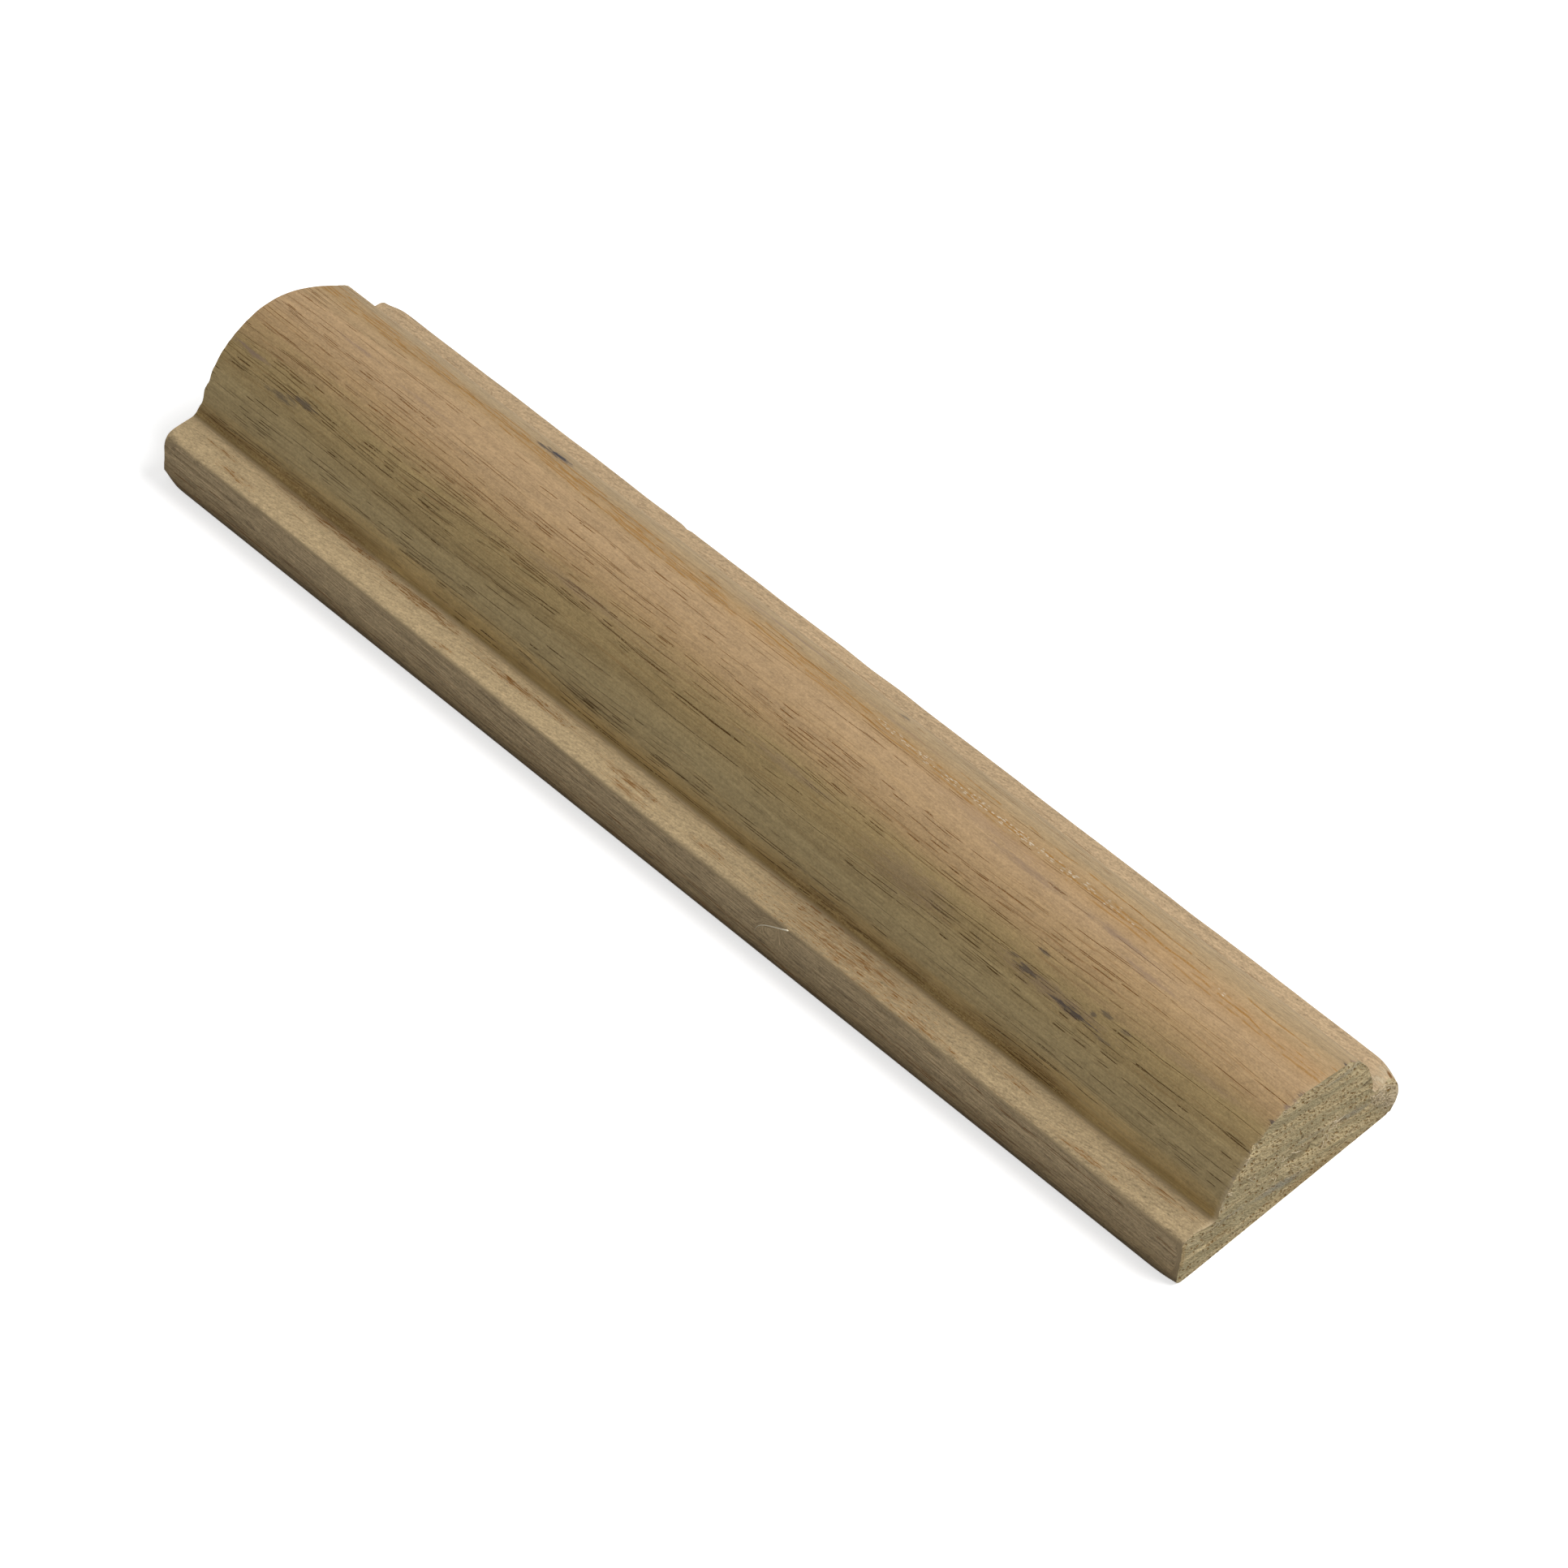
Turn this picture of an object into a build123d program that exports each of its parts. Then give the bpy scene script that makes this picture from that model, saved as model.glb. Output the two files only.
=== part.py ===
from build123d import *
import math
import os

# A short length of astragal wall moulding: a half-round bead between two flat ledges.
#
# The moulding lies on its flat back, as it would on a bench. Its length runs along X, its
# width along Y, and the bead faces up. The origin is the middle of the back.

# Driving sizes, in millimetres
length = 196.0            # between the two saw cuts
width = 45.0              # across the flat back
bead_radius = 16.2        # half-round bead that stands on the middle of the board
bead_centre_height = 7.8  # from the back to the centre of the bead's arc
ledge_height = 9.2        # from the back to the flat ledge on each side of the bead
foot_cove = 1.2           # hollow that the cutter leaves where the bead meets a ledge
ledge_arris = 0.8         # eased edge between each ledge and its side
back_arris = 1.6          # eased edge between each side and the back

# Sizes worked out from the ones above
half_width = width / 2
bead_top = bead_centre_height + bead_radius
foot_rise = ledge_height - bead_centre_height
foot_from_middle = math.sqrt(bead_radius**2 - foot_rise**2)

# One half of the section is drawn from the bead's crown round to the middle of the back,
# and mirrored. On this plane the first coordinate is the row's Y and the second its Z.
with BuildSketch(Plane.YZ.offset(-length / 2)) as section:
    with BuildLine():
        bead = RadiusArc((0, bead_top), (foot_from_middle, ledge_height), bead_radius)
        ledge = Line(bead @ 1, (half_width, ledge_height))
        side = Line(ledge @ 1, (half_width, 0))
        back = Line(side @ 1, (0, 0))
        mirror(about=Plane.YZ)
    make_face()

    # The corners lie in three levels: the back, the ledges and the crown. On the ledge
    # level the two inner ones are the bead's feet and the two outer ones the arrises.
    corner_levels = section.vertices().group_by(Axis.Y)
    back_corners = corner_levels[0].filter_by(lambda corner: abs(corner.X) > half_width / 2)
    ledge_corners = corner_levels[1].sort_by(lambda corner: abs(corner.X))
    fillet(back_corners, radius=back_arris)
    fillet(ledge_corners[:2], radius=foot_cove)
    fillet(ledge_corners[2:], radius=ledge_arris)

# The whole piece is that section, planed along one board and sawn off at both ends.
with BuildPart() as moulding:
    extrude(section.sketch, amount=length)

moulding.part.label = "moulding"
os.makedirs("parts", exist_ok=True)
export_step(moulding.part, "parts/moulding.step")
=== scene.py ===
"""The looks of a short length of astragal wall moulding, sawn off at both ends.

The moulding lies on its flat back. X runs along it, towards the rougher saw cut, Y across
it and Z up. All places are in metres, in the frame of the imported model.
"""
import math

import bmesh
import bpy
import numpy as np
from bpy.props import FloatProperty, FloatVectorProperty, IntProperty, PointerProperty
from bpy.types import Operator, Panel, PropertyGroup
from mathutils import Matrix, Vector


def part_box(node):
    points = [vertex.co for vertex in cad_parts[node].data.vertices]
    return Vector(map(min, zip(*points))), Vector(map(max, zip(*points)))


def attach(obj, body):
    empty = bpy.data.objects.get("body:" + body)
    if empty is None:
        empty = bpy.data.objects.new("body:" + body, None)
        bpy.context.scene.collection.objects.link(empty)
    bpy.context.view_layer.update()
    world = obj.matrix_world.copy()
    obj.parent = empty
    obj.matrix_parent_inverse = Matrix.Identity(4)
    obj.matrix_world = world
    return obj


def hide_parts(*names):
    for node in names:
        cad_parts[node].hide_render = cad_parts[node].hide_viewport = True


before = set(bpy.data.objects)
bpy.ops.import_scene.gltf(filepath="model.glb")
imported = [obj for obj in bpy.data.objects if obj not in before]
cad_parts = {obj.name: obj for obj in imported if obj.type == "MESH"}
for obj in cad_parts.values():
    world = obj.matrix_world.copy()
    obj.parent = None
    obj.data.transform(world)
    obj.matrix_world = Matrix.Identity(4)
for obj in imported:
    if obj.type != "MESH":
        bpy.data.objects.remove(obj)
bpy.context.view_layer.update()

bl_info = {
    "name": "Astragal moulding",
    "version": (1, 0, 0),
    "blender": (4, 5, 0),
    "location": "View3D > Sidebar > Moulding",
    "description": "A sawn-off length of half-round wall moulding in pale hardwood",
    "category": "Add Mesh",
}

MM = 0.001
STATIONS = 300
RINGS = 33
LATTICE = 256
GLOSS = 0.08
LOW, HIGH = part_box("moulding")


def length_size(name, millimetres, description):
    """A length that the sidebar shows, given here in millimetres."""
    return FloatProperty(name=name, default=millimetres * MM, unit="LENGTH", precision=4,
                         description=description)


def wood_colour(name, red, green, blue, description):
    """A colour in linear light."""
    return FloatVectorProperty(name=name, subtype="COLOR", size=4, min=0.0, max=1.0,
                               default=(red, green, blue, 1.0), description=description)


def stage_angle(name, degrees, description):
    """An angle that the sidebar shows, given here in degrees."""
    return FloatProperty(name=name, default=math.radians(degrees), subtype="ANGLE",
                         description=description)


class MouldingSizes(PropertyGroup):
    """The section of the moulding and where its two saw cuts lie."""

    length: length_size("Length", (HIGH.x - LOW.x) / MM, "Room from saw cut to saw cut")
    width: length_size("Width", (HIGH.y - LOW.y) / MM, "Across the flat back")
    height: length_size("Height", (HIGH.z - LOW.z) / MM, "From the back to the bead's crown")
    bead_radius: length_size("Bead radius", 16.2, "The half-round bead")
    ledge_height: length_size("Ledge height", 9.2, "From the back to the flat ledges")
    foot_cove: length_size("Foot cove", 1.2, "Hollow where the bead meets a ledge")
    ledge_arris: length_size("Ledge arris", 0.8, "Eased edge between a ledge and its side")
    back_arris: length_size("Back arris", 1.6, "Eased edge between a side and the back")
    near_inset: length_size("Near cut inset", 0.63, "Mean depth of the rough cut in its room")
    far_inset: length_size("Far cut inset", 0.10, "Mean depth of the cleaner cut in its room")
    near_roughness: length_size("Near roughness", 0.12, "Height of the rough cut's saw marks")
    far_roughness: length_size("Far roughness", 0.04, "Height of the cleaner cut's saw marks")


class MouldingColours(PropertyGroup):
    """The colours of the wood, as they render in plain light."""

    rear_cream: wood_colour("Rear of the bead", 0.383, 0.279, 0.159, "Bead, facing the rear")
    band_tan: wood_colour("Band", 0.398, 0.278, 0.148, "Bead, behind the rusty lines")
    crown_tan: wood_colour("Crown", 0.440, 0.297, 0.162, "Pinkish tan on top of the bead")
    shoulder_brown: wood_colour("Shoulder", 0.395, 0.263, 0.132, "Bead, below the crown")
    # Painted shade: the upper flank is darkened where the light falls off round the bead
    flank_dark_shaded: wood_colour("Upper flank", 0.345, 0.247, 0.114, "Start of the olive layer")
    # Painted light: the lower flank and the foot are lightened over their olive and brown layers
    flank_olive_lit: wood_colour("Lower flank", 0.450, 0.342, 0.175, "Paler olive layer")
    foot_brown_lit: wood_colour("Foot", 0.500, 0.362, 0.168, "Brown layer above the ledges")
    foot_dark: wood_colour("Foot hollow", 0.425, 0.300, 0.122, "Darkest wood of the foot")
    ledge_cream: wood_colour("Ledge", 0.440, 0.330, 0.187, "Front ledge")
    rear_ledge: wood_colour("Rear ledge", 0.480, 0.350, 0.212, "Rear ledge")
    side_brown: wood_colour("Side", 0.458, 0.343, 0.200, "Upper part of the sides")
    # Painted shade: the sides darken towards the back, where the back arris and the floor shade
    # them
    side_low_shaded: wood_colour("Low side", 0.307, 0.222, 0.121, "Sides near the back")
    # Darker brown for patches along the crease at the foot of the bead
    foot_crease_brown: wood_colour("Crease brown", 0.190, 0.110, 0.038, "Dirt in the foot of the bead")
    line_brown: wood_colour("Lines", 0.205, 0.094, 0.027, "Thin brown lines along the grain")
    pore_brown: wood_colour("Pores", 0.086, 0.045, 0.012, "Inside the open pores")
    pore_tan: wood_colour("End pores", 0.190, 0.099, 0.021, "Torn pores of the end grain")
    ochre: wood_colour("Ochre", 0.210, 0.100, 0.024, "Rust on the front ledge")
    vein: wood_colour("Veins", 0.330, 0.170, 0.046, "Rusty veins along the crown")
    chalk: wood_colour("Chalk", 0.750, 0.700, 0.580, "Pale specks in some pores")
    stain_blue: wood_colour("Blue stain", 0.052, 0.046, 0.050, "Dark marks on the bead")
    smudge: wood_colour("Smudge", 0.230, 0.160, 0.120, "Mauve brown smudges")
    sawn_grey: wood_colour("Sawn end", 0.400, 0.330, 0.190, "End grain, greenish grey")
    sawn_cream: wood_colour("Sawn cream", 0.555, 0.442, 0.252, "End grain, yellowish bands")
    sawn_lilac: wood_colour("Sawn lilac", 0.325, 0.292, 0.214, "End grain, greyer bands")
    sawn_brown: wood_colour("Sawn brown", 0.300, 0.185, 0.070, "Reddish rows of the end grain")
    # Pale torn wood, also used for painted highlights along the edges by the rough cut
    fuzz_and_highlight_pale: wood_colour("Fuzz", 0.620, 0.500, 0.330, "Where the saw tore the grain")
    fibre_straw: wood_colour("Fibres", 0.720, 0.610, 0.430, "Torn fibres of the rough cut")
    # Painted light: the loose fibre is coloured as lit from above, though it lies along the shaded
    # side
    loose_straw_lit: wood_colour("Loose fibre", 0.950, 0.860, 0.660, "Fibre on the front arris")


class MouldingStage(PropertyGroup):
    """Camera and floor."""

    azimuth: stage_angle("Azimuth", 36.3365, "Camera's turn about Z, from looking along +Y")
    elevation: stage_angle("Elevation", 47.1049, "Camera's height above the horizon")
    roll: stage_angle("Roll", 9.692, "Camera's turn about its own line of sight")
    distance: length_size("Distance", 858.066, "From the camera to the far lower corner")
    corner_right: length_size("Corner, right", -89.891, "That corner, right of the sight line")
    corner_up: length_size("Corner, up", 43.851, "That corner, above the sight line")
    focal_px: FloatProperty(name="Focal length", default=7328.64,
                            description="Focal length in pixels of the picture")
    picture_px: IntProperty(name="Picture width", default=1932,
                            description="Width of the picture in pixels")
    floor_colour: wood_colour("Floor", 0.450, 0.450, 0.450, "Plain pale floor")
    floor_size: length_size("Floor size", 8000.0, "Edge of the square floor")


def noise(u, v, seed):
    """Smooth noise from -1 to 1 over two coordinates, as whole arrays.

    Random heights stand on the whole numbers of a square lattice that repeats. Between
    them the height is blended along u and v by 3t^2 - 2t^3 of the fraction t.
    """
    lattice = np.random.default_rng(seed).uniform(-1.0, 1.0, (LATTICE, LATTICE))
    iu, iv = np.floor(u).astype(int), np.floor(v).astype(int)
    tu, tv = u - iu, v - iv
    tu, tv = tu * tu * (3 - 2 * tu), tv * tv * (3 - 2 * tv)
    iu, iv, ju, jv = (place % LATTICE for place in (iu, iv, iu + 1, iv + 1))
    low = lattice[iu, iv] * (1 - tu) + lattice[ju, iv] * tu
    high = lattice[iu, jv] * (1 - tu) + lattice[ju, jv] * tu
    return low * (1 - tv) + high * tv


def bump_at(u, v, centre_u, centre_v, radius_u, radius_v):
    """A smooth hump of height 1: the exponential of minus the squared distance in radii."""
    return np.exp(-((u - centre_u) / radius_u) ** 2 - ((v - centre_v) / radius_v) ** 2)


def arc(centre, radius, start, end, count):
    """Points on a circle from one angle to another, in degrees, the last one left out."""
    turn = np.radians(np.linspace(start, end, count, endpoint=False))
    return np.stack([centre[0] + radius * np.cos(turn), centre[1] + radius * np.sin(turn)], 1)


def straight(start, end, count):
    """Evenly spaced points from start towards end, the end left out."""
    step = np.linspace(0.0, 1.0, count, endpoint=False)[:, None]
    return np.asarray(start) * (1 - step) + np.asarray(end) * step


def section(sizes):
    """The closed outline of the moulding, anticlockwise in (Y, Z) as seen from +X.

    The right half goes from the middle of the back round the back arris, up the side,
    round the ledge arris, in along the ledge, through the foot cove, and up the bead's arc
    to its crown. The left half is its mirror image, taken the other way. The cove touches
    the ledge and the bead, so its centre stands sqrt((R + r)^2 - (h + r - c)^2) from the
    middle, for the bead's radius R and centre height c, ledge height h and cove radius r.
    """
    half = sizes.width / 2
    radius, ledge = sizes.bead_radius, sizes.ledge_height
    centre = sizes.height - radius
    cove, top, back = sizes.foot_cove, sizes.ledge_arris, sizes.back_arris
    cove_y = math.sqrt((radius + cove) ** 2 - (ledge + cove - centre) ** 2)
    foot_angle = math.degrees(math.atan2(ledge + cove - centre, cove_y))
    right = np.concatenate([
        straight((0, 0), (half - back, 0), 16),
        arc((half - back, back), back, -90, 0, 5),
        straight((half, back), (half, ledge - top), 10),
        arc((half - top, ledge - top), top, 0, 90, 4),
        straight((half - top, ledge), (cove_y, ledge), 12),
        arc((cove_y, ledge + cove), cove, 270, 180 + foot_angle, 5),
        arc((0, centre), radius, foot_angle, 90, 64),
    ])
    crown = np.array([[0.0, sizes.height]])
    left = right[:0:-1] * (-1, 1)
    return np.concatenate([right, crown, left])


# Places where a saw cut stands proud of its mean plane, or falls short of it: Y, Z, reach
# and height in millimetres. They were read round the outline of the end.
NEAR_CHIPS = (
    (-22.0, 8.8, 2.4, -0.42), (-19.2, 9.2, 1.6, -0.15), (-16.4, 9.6, 1.5, 0.24),
    (-10.7, 20.0, 0.8, -0.50), (-8.3, 21.8, 1.9, -0.30), (-5.8, 22.9, 0.7, -0.40),
    (-4.7, 23.3, 0.6, 0.10), (2.6, 24.0, 2.6, 0.32), (8.6, 21.6, 1.3, -0.42),
    (11.2, 19.6, 1.6, -0.70), (14.8, 14.8, 2.2, -0.34), (17.4, 9.6, 1.2, 0.20),
    (21.8, 5.4, 2.2, 0.45), (19.0, 6.6, 2.2, 0.20), (20.6, 9.4, 1.6, -0.55),
    (22.3, 2.6, 2.6, 0.50), (4.4, 8.0, 0.8, -0.85), (5.0, 9.1, 0.7, -0.60),
    (-0.8, 8.8, 0.9, -0.80), (9.0, 7.4, 1.6, -0.45), (12.5, 5.6, 1.8, -0.35),
    (-5.5, 10.2, 1.4, 0.25),
)
FAR_CHIPS = (
    (-22.5, 4.5, 3.5, -0.40), (-15.6, 12.2, 1.6, -0.62), (-14.3, 15.2, 1.3, -0.50),
    (-13.0, 17.4, 1.2, -0.18),
)


def chipped(y, z, chips):
    """The sum of a smooth hump or dent for each chip."""
    total = np.zeros_like(y)
    for centre_y, centre_z, reach, height in chips:
        total = total + height * bump_at(y, z, centre_y, centre_z, reach, reach)
    return total


def near_cut(y, z):
    """How far the rough cut's chips stand out, in millimetres, and its marks from -1 to 1.

    The marks are ridges about 1.3 mm apart that lean with the growth rings, and torn grain
    in long narrow patches beside them.
    """
    lean = z + 0.3 * y
    ridges = np.sin(2 * np.pi * (lean / 1.3 + 0.35 * noise(y / 7, z / 4, 11)))
    torn = noise(y / 2.4, lean / 0.5, 12) + 0.6 * noise(y / 0.8, lean / 0.4, 13)
    return chipped(y, z, NEAR_CHIPS), 0.3 * ridges + 0.7 * torn


def far_cut(sizes, y, z):
    """The same for the cleaner cut, whose crown is split away towards the rear.

    The split is deepest where the bead faces 60 degrees from +Y, fades round the bead on
    both sides of that, and fades below the bead's surface.
    """
    radius = sizes.bead_radius / MM
    centre = sizes.height / MM - radius
    turn = np.degrees(np.arctan2(z - centre, y))
    depth = radius - np.hypot(y, z - centre)
    deepest, deepest_at = 2.35, 60
    spread = np.where(turn > deepest_at, 28, 23)
    fall = ((turn - deepest_at) / spread) ** 2 + (np.clip(depth, 0, None) / 4) ** 2
    ridges = np.sin(2 * np.pi * (z / 1.1 + 0.2 * noise(y / 8, z / 5, 21)))
    out = chipped(y, z, FAR_CHIPS) - deepest * np.exp(-fall)
    return out, 0.4 * ridges + 0.6 * noise(y / 2.2, z / 0.5, 22)


def cut_places(sizes, y, z):
    """The X of the near and the far saw cut at each (Y, Z), kept inside the room for them.

    Towards the flat back both cuts come close to their mean plane, so the edge is clean.
    """
    y_mm, z_mm = y / MM, z / MM
    clean = np.clip((z_mm - 0.2) / 2.4, 0.1, 1.0)
    chips, marks = near_cut(y_mm, z_mm)
    out = clean * (chips * MM + marks * sizes.near_roughness)
    near = sizes.length / 2 - sizes.near_inset + np.minimum(out, sizes.near_inset)
    chips, marks = far_cut(sizes, y_mm, z_mm)
    out = clean * (chips * MM + marks * sizes.far_roughness)
    far = -sizes.length / 2 + sizes.far_inset - np.minimum(out, sizes.far_inset)
    return near, far


def stations():
    """Steps from 0 to 1 along the moulding, closer together towards both ends.

    An even step t becomes t - 0.6 sin(2 pi t) / (2 pi).
    """
    even = np.linspace(0.0, 1.0, STATIONS)
    return even - 0.6 * np.sin(2 * np.pi * even) / (2 * np.pi)


def fade(distance, reach):
    """Falls from 1 to nothing: the exponential of minus the squared distance in reaches.

    The reach is in millimetres.
    """
    return np.exp(-(distance / (reach * MM)) ** 2)


def close(distance, reach):
    """Falls evenly from 1 at no distance to nothing at the reach, in millimetres."""
    return np.clip(1 - distance / (reach * MM), 0, 1)


def wear(sizes, x, y, z):
    """Takes a little off the four long arrises, in waves along the length.

    A point within reach of an arris moves down and towards the middle of the width, by a
    share that falls with its distance from the arris. The wear is deepest at the corners.
    The rear corner of the rough cut is rounded off over its last 4 mm, by a share that
    grows as the square of the way to its end, and its front corner is eased a little in the
    same way. At the rear corner the back arris is keener: its points go part of the way to
    the corner that they round off. The front arris is eased at the far end too. Each side
    is very slightly hollow, and the front one a little more where the loose fibre lies.
    """
    side = np.sign(y)
    from_side = sizes.width / 2 - np.abs(y)
    from_end = sizes.length / 2 - np.abs(x)
    corner = 0.45 * fade(from_end, 2.2)
    corner = corner * np.where(x < 0, 1.0, np.where(side > 0, 0.25, 0.4))
    from_near = sizes.length / 2 - sizes.near_inset - x
    outer = np.clip((y - 18 * MM) / (4.5 * MM), 0, 1)
    upper = np.clip((z - 5.5 * MM) / (3.7 * MM), 0, 1)
    rounding = 1.8 * MM * close(from_near, 4) ** 2 * outer * upper
    level = np.full_like(x, 0.5)
    depth = 0.05 + 0.06 * noise(x / (5.5 * MM) + 40 * side, level, 31)
    nick = np.clip(noise(x / (2.4 * MM) + 70 * side, level, 32) - 0.70, 0, 1) * 0.8
    depth = (depth + nick + corner) * MM
    top = fade(np.hypot(from_side, z - sizes.ledge_height), 1.3)
    front = side < 0
    to_back = np.hypot(from_side, z)
    eased = 0.12 * close(from_near, 5) ** 2 + 0.40 * close(sizes.length / 2 + x, 4) ** 2
    low = fade(to_back, 1.6) * corner * MM * 0.8 + front * eased * MM * fade(to_back, 2.6)
    arris = sizes.back_arris
    turned = close(from_side, arris / MM)
    risen = close(z, arris / MM)
    keen = 0.55 * arris * (side > 0) * close(from_near, 9)
    keen = keen * (from_side < arris * 1.01) * (z < arris * 1.01)
    outside = close(from_side, 0.3)
    ease = 0.25 * MM * outside * front * close(from_near, 1.4) ** 2
    hollow = 0.06 + 0.04 * noise(x / (9 * MM), z, 33)
    hollow = hollow + 0.14 * front * bump_at(x / MM, z / MM, 23.0, 6.5, 6.0, 4.0)
    y = y + side * (keen * (1 - turned) - depth * top - low - ease - hollow * MM * outside)
    return y, z - depth * top + low - rounding - keen * (1 - risen)


def board_mesh(sizes):
    """The whole moulding as one closed surface of quads.

    Its long surface is the section carried along X from the far cut to the near cut: point
    i of the section at step t lies at (1 - t) * far(i) + t * near(i). Each end is closed
    by rings of the same section that shrink towards a line inside it. The points of the
    last ring gather at even steps along that line, where its two halves share them.
    """
    outline = section(sizes)
    points = len(outline)
    steps = stations()
    near, far = cut_places(sizes, outline[:, 0], outline[:, 1])
    x = far[None, :] * (1 - steps[:, None]) + near[None, :] * steps[:, None]
    y, z = wear(sizes, x, np.tile(outline[:, 0], (len(steps), 1)),
                np.tile(outline[:, 1], (len(steps), 1)))
    long_grid = np.stack([x, y, z], 2)
    rows = np.arange(len(steps) * points).reshape(len(steps), points)
    faces = quads(rows)

    vertices, first = [long_grid.reshape(-1, 3)], len(steps) * points
    spine_half, spine_z = sizes.width / 2 - 6.5 * MM, 5.0 * MM
    pitch = spine_half / 8
    for end, edge in (("near", len(steps) - 1), ("far", 0)):
        rim = long_grid[edge]
        spine_y = np.clip(np.round(rim[:, 1] / pitch) * pitch, -spine_half, spine_half)
        spine = np.stack([spine_y, np.full(points, spine_z)], 1)
        shrink = np.linspace(0, 1, RINGS + 1)[1:, None, None]
        ring_yz = rim[None, :, 1:] * (1 - shrink) + spine[None] * shrink
        near_x, far_x = cut_places(sizes, ring_yz[..., 0], ring_yz[..., 1])
        ring_x = near_x if end == "near" else far_x
        vertices.append(np.concatenate([ring_x[..., None], ring_yz], 2).reshape(-1, 3))
        ring_rows = first + np.arange(len(ring_yz) * points).reshape(-1, points)
        ring_rows = np.concatenate([rows[edge][None], ring_rows])
        ring_faces = quads(ring_rows)
        faces = np.concatenate([faces, ring_faces if end == "near" else ring_faces[:, ::-1]])
        first += len(ring_yz) * points
    return np.concatenate(vertices), faces


def quads(rows):
    """One quad for each cell of a grid of vertex numbers whose rows close on themselves."""
    after = np.roll(rows, -1, axis=1)
    return np.stack([rows[:-1], after[:-1], after[1:], rows[1:]], 2).reshape(-1, 4)


def make_object(name, vertices, faces, materials):
    """Puts arrays of vertices and quads into a new object at the origin."""
    mesh = bpy.data.meshes.new(name)
    mesh.from_pydata(vertices.tolist(), [], faces.tolist())
    mesh.update()
    for material in materials:
        mesh.materials.append(material)
    made = bpy.data.objects.new(name, mesh)
    bpy.context.scene.collection.objects.link(made)
    return made


def smooth_where(made, sharp_from):
    """Smooth shading, with a sharp edge wherever two faces turn by more than the angle."""
    made.data.shade_smooth()
    made.data.set_sharp_from_angle(angle=sharp_from)


class Value:
    """The output of a shader node, on which Python's operators add Math nodes."""

    def __init__(self, nodes, socket):
        self.nodes = nodes
        self.socket = socket

    def maths(self, operation, *others, clamp=False):
        """Adds a Math node with this value as its first input."""
        return self.nodes.node("ShaderNodeMath", {"operation": operation, "use_clamp": clamp},
                               dict(enumerate((self, *others))))

    def out(self, name):
        """Another output of the same node."""
        return Value(self.nodes, find_socket(self.socket.node.outputs, name))

    def __add__(self, other):
        return self.maths("ADD", other)

    def __mul__(self, other):
        return self.maths("MULTIPLY", other)

    def __sub__(self, other):
        return self.maths("SUBTRACT", other)

    def __rsub__(self, other):
        return self.nodes.node("ShaderNodeMath", {"operation": "SUBTRACT"},
                               {0: other, 1: self})

    def __truediv__(self, other):
        return self.maths("DIVIDE", other)

    def __abs__(self):
        return self.maths("ABSOLUTE")

    __radd__ = __add__
    __rmul__ = __mul__


def find_socket(sockets, key):
    """A node's socket by its place, identifier or name."""
    if isinstance(key, int):
        return sockets[key]
    for socket in sockets:
        if socket.identifier == key:
            return socket
    return sockets[key]


class Nodes:
    """A node tree that is being filled, and the one way its nodes are added."""

    def __init__(self, tree):
        self.tree = tree
        self.tree.nodes.clear()

    def node(self, kind, settings=None, inputs=None, output=0):
        """Adds a node: its settings first, then the values or links of its sockets."""
        made = self.tree.nodes.new(kind)
        for name, value in (settings or {}).items():
            if name == "stops":
                set_stops(made.color_ramp, value)
            else:
                setattr(made, name, value)
        for key, value in (inputs or {}).items():
            socket = find_socket(made.inputs, key)
            if isinstance(value, Value):
                self.tree.links.new(value.socket, socket)
            else:
                socket.default_value = value
        return Value(self, find_socket(made.outputs, output)) if made.outputs else made

    def seen_directly(self):
        """1 for rays of the camera, and for those that mirrors and glass send on."""
        path = self.node("ShaderNodeLightPath", output="Is Camera Ray")
        mirrored = path.maths("MAXIMUM", path.out("Is Glossy Ray"))
        return mirrored.maths("MAXIMUM", path.out("Is Transmission Ray"))


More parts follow.
